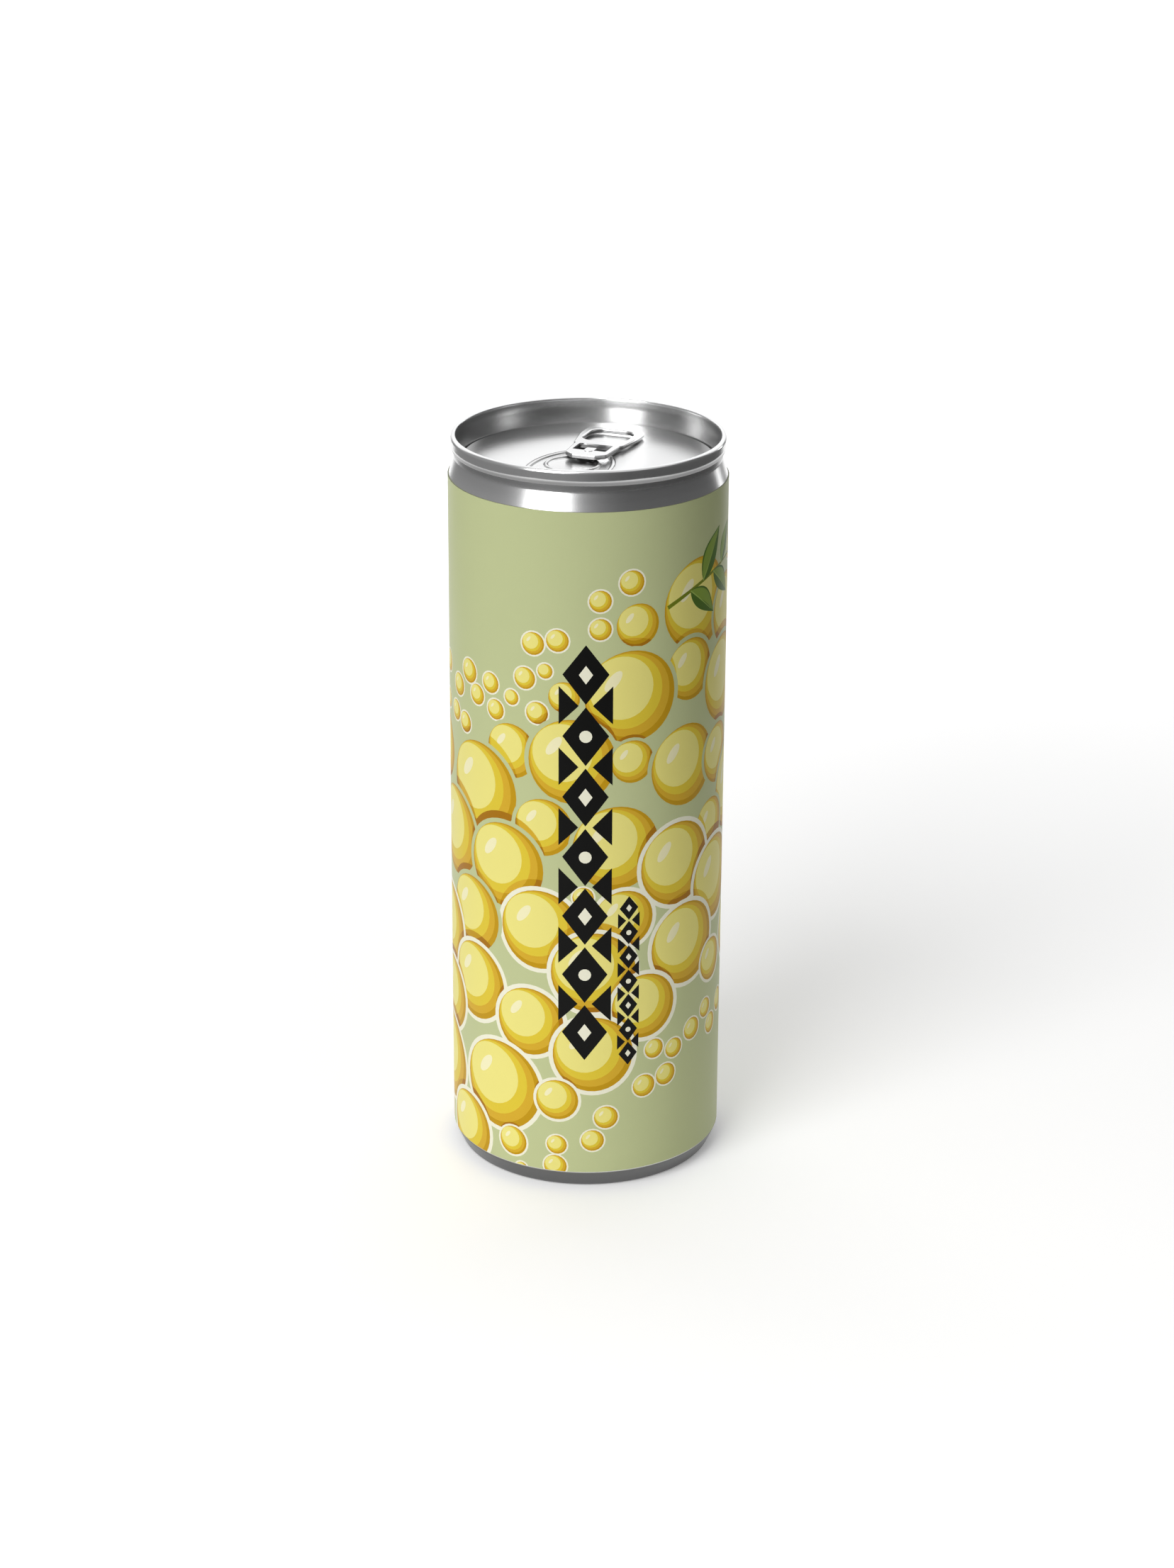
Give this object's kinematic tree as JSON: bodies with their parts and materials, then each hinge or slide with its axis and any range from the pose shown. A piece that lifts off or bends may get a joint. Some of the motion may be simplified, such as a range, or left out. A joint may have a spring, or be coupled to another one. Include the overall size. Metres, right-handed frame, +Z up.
{
  "type": "sparkling wine can",
  "caption": "Sealed slim drinks can: seamed end with a stay-on pull tab and pressed tear panel, short neck, tapered foot with a domed bottom, and a wrap-around printed label.",
  "frame": {"origin": "centre of the stand ring, on the surface the can stands on", "axes": "+Z up along the can's axis; the label's glued lap is at +Y, its printed front at -Y, and the pull tab points 70 degrees round from +X towards +Y"},
  "size_m": [0.0574, 0.0576, 0.1575],
  "materials": {
    "can_metal": "smooth bright rolled aluminium",
    "end_metal": "smooth bright stamped aluminium",
    "tab_metal": "smooth bright stamped aluminium with curled edges",
    "label_film": "satin printed film in flat colours"
  },
  "bodies": {
    "root": {"can_body": "can_metal", "can_end": "end_metal", "pull_tab": "tab_metal", "label": "label_film"}
  },
  "joints": []
}
